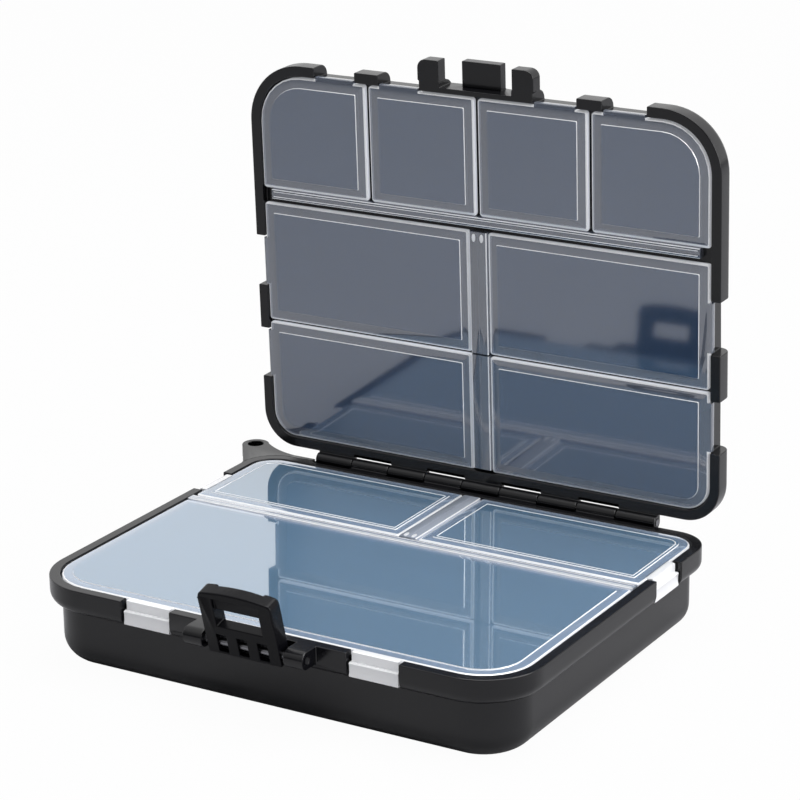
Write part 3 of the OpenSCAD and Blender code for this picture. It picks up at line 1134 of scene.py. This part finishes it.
@dataclass
class ClearLids:
    """The clear flip lids of both trays.

    Attributes:
        finishes: The box's finishes.
        bead: Lays the line round a panel, whose near-white finish is a painted highlight.
        edge_round: Radius of the rounding of the sides without a hinge.
        edge_steps: Number of steps from a side's underside to its top.
        step: Width of the slope between frame and panel.
        line_inset: How far that line lies in from the sides.
        line_sink: How far its middle lies below the panel's top.
        small_corner: Radius of the corners that don't follow the tray's.
        root: How far a tab reaches into its lid.
        tab_round: Radius of a tab's roundings.
        foot_gap: How far a hooked tab's arm ends above the foot of its lip.
        lip_hollow: Depth of the fingertip's hollow in the lip.
        hollow_above: How far the hollow starts above the lip's foot.
        hollow_below: How far it ends below the lip's top.
    """

    finishes: Finishes
    bead: BeadTool
    edge_round: float = 0.42
    edge_steps: int = 8
    step: float = 0.12
    line_inset: float = 3.15
    line_sink: float = 0.1
    small_corner: float = 0.7
    root: float = 0.6
    tab_round: float = 0.25
    foot_gap: float = 0.2
    lip_hollow: float = 0.18
    hollow_above: float = 1.1
    hollow_below: float = 0.9

    def plans(self) -> list[LidPlan]:
        """Lists every lid of the box.

        Returns:
            A plan for each lid.
        """
        s = SIZES
        out, front, low = s.lid_x, s.lid_front, s.rim_back + s.lid_gap
        big = s.front_radius - s.rim - s.lid_gap
        back = s.back_radius - s.rim_back - s.lid_gap
        c = self.small_corner
        base_end, top_end = s.base_row - s.row_gap / 2, s.top_row - s.row_gap / 2
        tabs = tuple(TabPlan(TabSide.HIGH_Y, side * s.front_tab_x, s.front_tab) for side in (-1, 1))
        plans = [
            LidPlan("base_front_lid", "front_lid", Tray.BASE, (-out, s.row_edge(s.base_row)),
                    (out, front), (c, c, big, big), HingeSide.LOW_Y, tabs)
        ]
        pairs = (
            ("base_{}_lid", Tray.BASE, low, base_end, s.low_tab_v, True),
            ("mid_{}_lid", Tray.UPPER, s.low_row + s.lid_gap, top_end, s.mid_tab_v, False),
            ("low_{}_lid", Tray.UPPER, low, s.low_row - s.lid_gap, s.low_tab_v, True),
        )
        for name, tray, v0, v1, tab_v, at_back in pairs:
            for side in (-1, 1):
                left = (side < 0) is (tray is Tray.UPPER)
                node = name.format("left" if left else "right")
                corner = back if at_back else c
                if side > 0:
                    low_at, high_at = (s.spine_edge, v0), (out, v1)
                    radii, hinge, free = (c, corner, c, c), HingeSide.LOW_X, TabSide.HIGH_X
                else:
                    low_at, high_at = (-out, v0), (-s.spine_edge, v1)
                    radii, hinge, free = (corner, c, c, c), HingeSide.HIGH_X, TabSide.LOW_X
                plans.append(LidPlan(node, node, tray, low_at, high_at, radii, hinge,
                                     (TabPlan(free, tab_v, s.side_tab),)))
        tab_places = (
            -s.top_pitch - s.top_tab_x,
            s.top_tab_x - s.top_pitch,
            s.top_pitch - s.top_tab_x,
            s.top_pitch + s.top_tab_x,
        )
        middle, last = len(tab_places) // 2, len(tab_places) - 1
        for index, tab_x in enumerate(tab_places):
            x0 = -out if index == 0 else (index - middle) * s.top_pitch + s.top_lid_gap
            x1 = out if index == last else (index + 1 - middle) * s.top_pitch - s.top_lid_gap
            radii = (c, c, big if index == last else c, big if index == 0 else c)
            node = f"top_lid_{index + 1}"
            plans.append(LidPlan(node, node, Tray.UPPER, (x0, s.row_edge(s.top_row)), (x1, front),
                                 radii, HingeSide.LOW_Y, (TabPlan(TabSide.HIGH_Y, tab_x, s.top_tab),)))
        return plans

    def build(self) -> Iterable[Piece]:
        """Builds each lid.

        Returns:
            The lids, one after the other.
        """
        for plan in self.plans():
            piece = self._plate(plan)
            for tab in plan.tabs:
                join_solid(piece, self._tab(plan.tray, tab))
            shade(piece.data)
            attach(piece, plan.body)
            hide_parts(plan.node)
            yield piece

    def _side_inset(self, height: float) -> float:
        """Rounds the sides of a lid that have no hinge.

        Args:
            height: Height above the lid's underside.

        Returns:
            How far the side is drawn in at that height.
        """
        near = min(height, SIZES.lid_thickness - height)
        if near >= self.edge_round:
            return 0.0
        over = self.edge_round - near
        return self.edge_round - math.sqrt(max(self.edge_round**2 - over**2, 0.0))

    def _side_kind(self, index: int) -> Face:
        """Kind of the faces above a step of a lid's side, the last two of which are its edge; the side
        finish carries a painted glow and the edge finish a painted highlight.
        """
        side = Face.SIDE if index < self.edge_steps - 2 else Face.EDGE
        return side if index < self.edge_steps else Face.FLANGE

    def _plate(self, plan: LidPlan) -> Piece:
        """The lid's plate: a rounded hinge edge, a low frame and a raised panel.

        Args:
            plan: The lid.

        Returns:
            The plate.
        """
        s = SIZES
        outline = Outline(plan.low, plan.high, plan.radii)
        low, high, panel = s.lid_low, s.lid_low + s.lid_thickness, s.lid_top
        inset = s.frame_width + self.step
        rings: list[list[Point3]] = []
        kinds: list[Face] = []

        def add(plain_inset: float, hinge_inset: float, z: float, kind: Face) -> None:
            """Adds a ring.

            Args:
                plain_inset: How far it is drawn in at the sides without a hinge.
                hinge_inset: How far it is drawn in at the hinge.
                z: Its height.
                kind: The kind of the faces above it.
            """
            insets = [plain_inset] * 4
            insets[plan.hinge.value] = hinge_inset
            rings.append([(x, y, z) for x, y in outline.ring(tuple(insets))])
            kinds.append(kind)

        add(inset, inset, low + s.panel_rise, Face.FLANGE)
        add(s.frame_width, s.frame_width, low, Face.FLANGE)
        for index in range(self.edge_steps + 1):
            angle = math.pi * index / self.edge_steps
            height = s.bead - s.bead * math.cos(angle)
            round_in = s.bead - s.bead * math.sin(angle)
            add(self._side_inset(height), round_in, low + height, self._side_kind(index))
        add(s.frame_width, s.frame_width, high, Face.EDGE)
        add(inset, inset, panel, Face.PANEL)
        writer = MeshWriter()
        writer.loft(rings, kinds)
        line = [(x, y, panel - self.line_sink) for x, y in outline.ring((self.line_inset,) * 4)]
        # The line round the panel is a near-white bead, a painted highlight.
        writer.add(self.bead.along([line], True, self.finishes.bright), Face.EDGE)
        return writer.done(f"{plan.node}_clear", plan.tray, self.finishes.lids[plan.tray])

    def _tab(self, tray: Tray, tab: TabPlan) -> Piece:
        """Makes a finger tab.

        Args:
            tray: The lid's tray.
            tab: The tab.

        Returns:
            The tab, as a closed solid that reaches into the lid.
        """
        made, *others = [self._swept(tray, tab, *part) for part in self._sections(tray, tab.width)]
        for other in others:
            join_solid(made, other)
        return made

    def _sections(self, tray: Tray, width: float) -> list[tuple[list[Point2], float, Face]]:
        """Draws a tab: a flat plate in the upper tray, an arm and a wider lip in the base.

        Args:
            tray: The lid's tray.
            width: The tab's width.

        Returns:
            Each section with the width of its sweep and the kind of its faces. A section's
            points run anticlockwise, measured outwards from the box's side and up from the rim.
        """
        s, r, meet = SIZES, self.tab_round, FLATS_MEET * self.tab_round
        root, under, top = -(s.rim + s.lid_gap + self.root), s.lid_low, s.lid_low + s.lid_thickness
        if tray is Tray.UPPER:
            face = -s.upper_tab_inset
            plate = [
                (root, under), (face - r, under), (face - meet, under + meet), (face, under + r),
                (face, top - r), (face - meet, top - meet), (face - r, top), (root, top),
            ]
            return [(plate, width, Face.FLANGE)]
        face = -s.base_tab_inset
        leg = face - s.lip_step
        back, foot = leg - s.tab_thickness, self.foot_gap - s.tab_drop
        arm = [
            (root, under), (back - r, under), (back, under - r), (back, foot), (leg, foot),
            (leg, top - r), (leg - meet, top - meet), (leg - r, top), (root, top),
        ]
        low, high, hollow = -s.tab_drop, -s.lip_drop, face - self.lip_hollow
        lip = [
            (back, low + r), (back + r, low), (face - r, low), (face - meet, low + meet),
            (face, low + r), (hollow, low + self.hollow_above), (hollow, high - self.hollow_below),
            (face - FLATS_MEET * self.lip_hollow, high - r), (face - r, high), (back + r, high),
            (back, high - r),
        ]
        # A base tab takes the near-white edge finish all over, a painted highlight standing in for light
        # carried in the clear plastic.
        return [(arm, width - 2 * s.lip_side, Face.EDGE), (lip, width, Face.EDGE)]

    def _swept(self, tray: Tray, tab: TabPlan, section: Sequence[Point2], width: float,
               kind: Face) -> Piece:
        """Sweeps a section along the side that its tab stands at.

        Args:
            tray: The lid's tray.
            tab: The tab.
            section: The section, measured outwards from the box's side.
            width: Width of the sweep.
            kind: The kind of its faces.

        Returns:
            The swept piece.
        """
        out_x, out_y = tab.side.value
        middle = (tab.at, SIZES.depth) if out_y else (out_x * SIZES.width / 2, tab.at)
        along = (-out_y * width, out_x * width, 0)
        start = (middle[0] - along[0] / 2, middle[1] - along[1] / 2, 0)
        writer = MeshWriter()
        writer.sweep(section, start, along, (out_x, out_y, 0), (0, 0, 1), lambda _: kind)
        return writer.done("tab", tray, self.finishes.lids[tray])


# ---- strips and spines


@dataclass
class ClearBars:
    """The clear strips and spines that the lids hang on, with their fine lines and nubs.

    Attributes:
        finishes: The box's finishes.
        bead: Lays the fine lines.
        nubs: Sets the nubs.
        round: Radius of the rounding of the upper edges.
        line_sink: How far a line's middle lies below the bar's top.
        line_end: How far a line stops before the bar's end.
        strip_line_share: How far a strip's lines lie from its middle, as a share of its width.
        strip_short: How far the upper tray's strip stops before the lids' outer edge.
        nub_from_end: How far the nubs lie from a spine's end.
        nub_apart: How far they lie from each other.
        nub_sink: How far their middles lie below the spine's top.
        bright_sides: The sides of the section that are its upper edges, which take the near-white painted
            highlight.
    """

    finishes: Finishes
    bead: BeadTool
    nubs: NubTool
    round: float = 0.2
    line_sink: float = 0.06
    line_end: float = 0.5
    strip_line_share: float = 0.25
    strip_short: float = 2.3
    nub_from_end: float = 1.4
    nub_apart: float = 2.0
    nub_sink: float = 0.6
    bright_sides: tuple[int, ...] = (2, 3, 5, 6)

    def _section(self, width: float) -> list[Point2]:
        """A bar's section, with rounded upper edges.

        Args:
            width: The bar's width.

        Returns:
            Points from the lower left, anticlockwise.
        """
        low, high, half, r = -SIZES.seat_depth, SIZES.lid_top, width / 2, self.round
        meet = r * FLATS_MEET
        return [
            (-half, low), (half, low), (half, high - r), (half - meet, high - meet),
            (half - r, high), (r - half, high), (meet - half, high - meet), (-half, high - r),
        ]

    def _kind(self, at: int) -> Face:
        """A bar's rounded upper edges take the near-white painted highlight, and the rest is plain."""
        return Face.EDGE if at in self.bright_sides else Face.FLANGE

    def build(self) -> Iterable[Piece]:
        """Builds each bar.

        Returns:
            The strips and then the spines, one after the other.
        """
        s = SIZES
        out = s.lid_x
        height = s.lid_top - self.line_sink
        for node, body, tray, row in (
            ("base_front_strip", "base", Tray.BASE, s.base_row),
            ("top_strip", "upper", Tray.UPPER, s.top_row),
        ):
            writer = MeshWriter()
            middle = row + s.row_gap / 2 + s.strip_width / 2
            reach = out - (self.strip_short if tray is Tray.UPPER else 0)
            writer.sweep(self._section(s.strip_width), (reach, middle, 0), (-2 * reach, 0, 0), (0, 1, 0),
                         (0, 0, 1), self._kind)
            off = s.strip_width * self.strip_line_share
            end = reach - self.line_end
            lines = [[(-end, at, height), (end, at, height)] for at in (middle - off, middle + off)]
            # The strip's fine lines are near-white beads, a painted highlight.
            writer.add(self.bead.along(lines, False, self.finishes.bright), Face.EDGE)
            yield self._finish(writer, node, body, tray)
        back, gap, top_end = s.rim_back + s.spine_end_gap, s.spine_gap / 2, s.top_row - s.row_gap / 2
        for node, body, tray, v0, v1, nubbed in (
            ("base_spine", "base", Tray.BASE, back, s.base_row, True),
            ("mid_spine", "upper", Tray.UPPER, s.low_row + gap, top_end, True),
            ("low_spine", "upper", Tray.UPPER, back, s.low_row - gap, False),
        ):
            writer = MeshWriter()
            writer.sweep(self._section(s.spine_width), (0, v0, 0), (0, v1 - v0, 0), (-1, 0, 0),
                         (0, 0, 1), self._kind)
            lines = [[(0, v0 + self.line_end, height), (0, v1 - self.line_end, height)]]
            writer.add(self.bead.along(lines, False, self.finishes.bright), Face.FLANGE)
            if nubbed:
                end = v1 - self.nub_from_end
                spots = [(side * self.nub_apart / 2, end, s.lid_top - self.nub_sink) for side in (-1, 1)]
                # The nubs take the near-white painted highlight.
                writer.add(self.nubs.at(spots, self.finishes.bright), Face.EDGE)
            yield self._finish(writer, node, body, tray)

    def _finish(self, writer: MeshWriter, node: str, body: str, tray: Tray) -> Piece:
        """Ends a bar and fits it to the frame.

        Args:
            writer: The bar's mesh.
            node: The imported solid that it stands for.
            body: The body that it moves with.
            tray: The tray that it lies in.

        Returns:
            The piece.
        """
        piece = writer.done(f"{node}_clear", tray, self.finishes.bars[tray])
        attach(piece, body)
        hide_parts(node)
        return piece


# ---- pins


@dataclass
class Pins:
    """The two steel pins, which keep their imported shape."""

    finishes: Finishes
    nodes: tuple[str, ...] = ("hinge_pin", "latch_pin")

    def build(self) -> Iterable[Piece]:
        """Gives each pin its finish.

        Returns:
            The pins, one after the other.
        """
        for node in self.nodes:
            piece = frame["nodes"][node]
            piece.data.materials.clear()
            piece.data.materials.append(self.finishes.steel)
            yield piece


# ---- studio


@dataclass(frozen=True)
class Lamp:
    """A soft square lamp.

    Attributes:
        name: Its name.
        place: Where it hangs, in metres.
        size: Its width in metres.
        watts: Its power.
    """

    name: str
    place: Point3
    size: float
    watts: float


@dataclass
class Studio:
    """Pale floor, soft light and the camera at the photograph's view.

    The camera sees floor_glow of plain white in the floor, and the rest is the floor as it is
    lit. Gloss sees no world light where a direction's y is below dark_front, and all of it
    from dark_blend above that.
    """

    azimuth: float = 31.011
    elevation: float = 18.595
    roll: float = -0.820
    distance: float = 0.649869
    focal_px: float = 2943.035
    image_px: float = 800.0
    sensor: float = 36.0
    nearest: float = 0.01
    farthest: float = 20.0
    aim_right: float = 0.005489
    aim_up: float = 0.053106
    floor_size: float = 6.0
    floor_colour: Colour = srgb(190, 190, 193)
    floor_second: Colour = srgb(195, 195, 197)
    floor_clouds_per_metre: float = 3.0
    floor_roughness: float = 0.9
    floor_glow: float = 0.97
    soft_colour: Colour = (0.95, 0.97, 1.0)
    soft_light: float = 0.12
    dark_front: float = -0.75
    dark_blend: float = 0.35
    lamp_aim: Point3 = (0, 0, 0.05)
    lamps: tuple[Lamp, ...] = (
        Lamp("lamp_above", (0.15, 0.05, 1.4), 1.3, 24.0),
        Lamp("lamp_front", (-0.5, -1.5, 0.9), 1.0, 1.6),
        Lamp("lamp_right", (1.5, 0.1, 0.6), 1.0, 18.0),
    )

    def camera(self) -> None:
        """Makes the camera and makes it the scene's."""
        az, el, roll = (math.radians(v) for v in (self.azimuth, self.elevation, self.roll))
        back = Vector((math.sin(az) * math.cos(el), -math.cos(az) * math.cos(el), math.sin(el)))
        right = Vector((math.cos(az), math.sin(az), 0))
        up = back.cross(right)
        turned = math.cos(roll) * right + math.sin(roll) * up
        upright = -math.sin(roll) * right + math.cos(roll) * up
        aim = self.aim_right * turned + self.aim_up * upright
        data = bpy.data.cameras.new("camera")
        data.sensor_width = self.sensor
        data.lens = self.focal_px * self.sensor / self.image_px
        data.clip_start, data.clip_end = self.nearest, self.farthest
        camera = bpy.data.objects.new("camera", data)
        place = Matrix((turned, upright, back)).transposed().to_4x4()
        place.translation = aim + back * self.distance
        camera.matrix_world = place
        bpy.context.scene.collection.objects.link(camera)
        bpy.context.scene.camera = camera

    def floor(self) -> None:
        """Makes the pale floor, which shows bright to the camera and keeps the shadow."""
        mesh = bmesh.new()
        bmesh.ops.create_grid(mesh, x_segments=1, y_segments=1, size=self.floor_size / 2)
        shader = Shader.material("pale_floor")
        cloud = shader.noise(self.floor_clouds_per_metre)
        colour = shader.mix(cloud, self.floor_colour, self.floor_second)
        matt = shader.node(
            "ShaderNodeBsdfPrincipled", {}, {"Base Color": colour, "Roughness": self.floor_roughness}
        )
        glow = shader.node("ShaderNodeEmission", {}, {"Color": (1, 1, 1, 1), "Strength": 1.0})
        path = shader.node("ShaderNodeLightPath", {}, {}, "Is Camera Ray")
        mixed = shader.node("ShaderNodeMixShader", {}, {0: path * self.floor_glow, 1: matt, 2: glow})
        piece = to_object(mesh, "floor", [shader.end(mixed)])

    def world(self) -> None:
        """Makes the world white to the eye and to gloss, darker towards the front, and soft as light."""
        shader = Shader(bpy.data.worlds.new("studio"))
        paths = {
            kind: shader.node("ShaderNodeLightPath", {}, {}, f"Is {kind} Ray")
            for kind in ("Camera", "Glossy", "Transmission")
        }
        towards = shader.node("ShaderNodeTexCoord", {}, {}, "Generated")
        depth = shader.node("ShaderNodeSeparateXYZ", {}, {"Vector": towards}, "Y")
        lit = ((depth - self.dark_front) * (1 / self.dark_blend)).clamped()
        white = paths["Camera"].at_least(paths["Transmission"]).at_least(paths["Glossy"] * lit)
        soft = shader.node(
            "ShaderNodeBackground", {}, {"Color": (*self.soft_colour, 1), "Strength": self.soft_light}
        )
        bright = shader.node("ShaderNodeBackground", {}, {"Color": (1, 1, 1, 1), "Strength": 1.0})
        mixed = shader.node("ShaderNodeMixShader", {}, {0: white, 1: soft, 2: bright})
        bpy.context.scene.world = shader.end(mixed)

    def light(self, lamp: Lamp) -> None:
        """Hangs a lamp that looks at the box.

        Args:
            lamp: The lamp.
        """
        data = bpy.data.lights.new(lamp.name, "AREA")
        data.shape = "SQUARE"
        data.size = lamp.size
        data.energy = lamp.watts
        made = bpy.data.objects.new(lamp.name, data)
        place = Vector(lamp.place)
        turn = (place - Vector(self.lamp_aim)).to_track_quat("Z", "Y")
        made.matrix_world = Matrix.Translation(place) @ turn.to_matrix().to_4x4()
        bpy.context.scene.collection.objects.link(made)

    def build(self) -> None:
        """Builds the whole studio."""
        self.camera()
        self.floor()
        self.world()
        for lamp in self.lamps:
            self.light(lamp)
        bpy.context.scene.view_settings.view_transform = "Standard"


def main() -> None:
    """Builds the studio and each part of the box."""
    logging.basicConfig(level=logging.INFO, format="%(name)s: %(message)s")
    Studio().build()
    finishes = Finishes()
    line = BeadTool("panel_line", radius=0.2)
    fine_line = BeadTool("bar_line", radius=0.12)
    nubs = NubTool("end_nubs", radius=0.45, height=0.7, stretch=2.2)
    groups = (
        BlackParts(finishes),
        ClearLids(finishes, line),
        ClearBars(finishes, fine_line, nubs),
        Pins(finishes),
    )
    for group in groups:
        for piece in group.build():
            LOG.info("%s: %d faces", piece.name, len(piece.data.polygons))


if __name__ == "__main__":
    main()
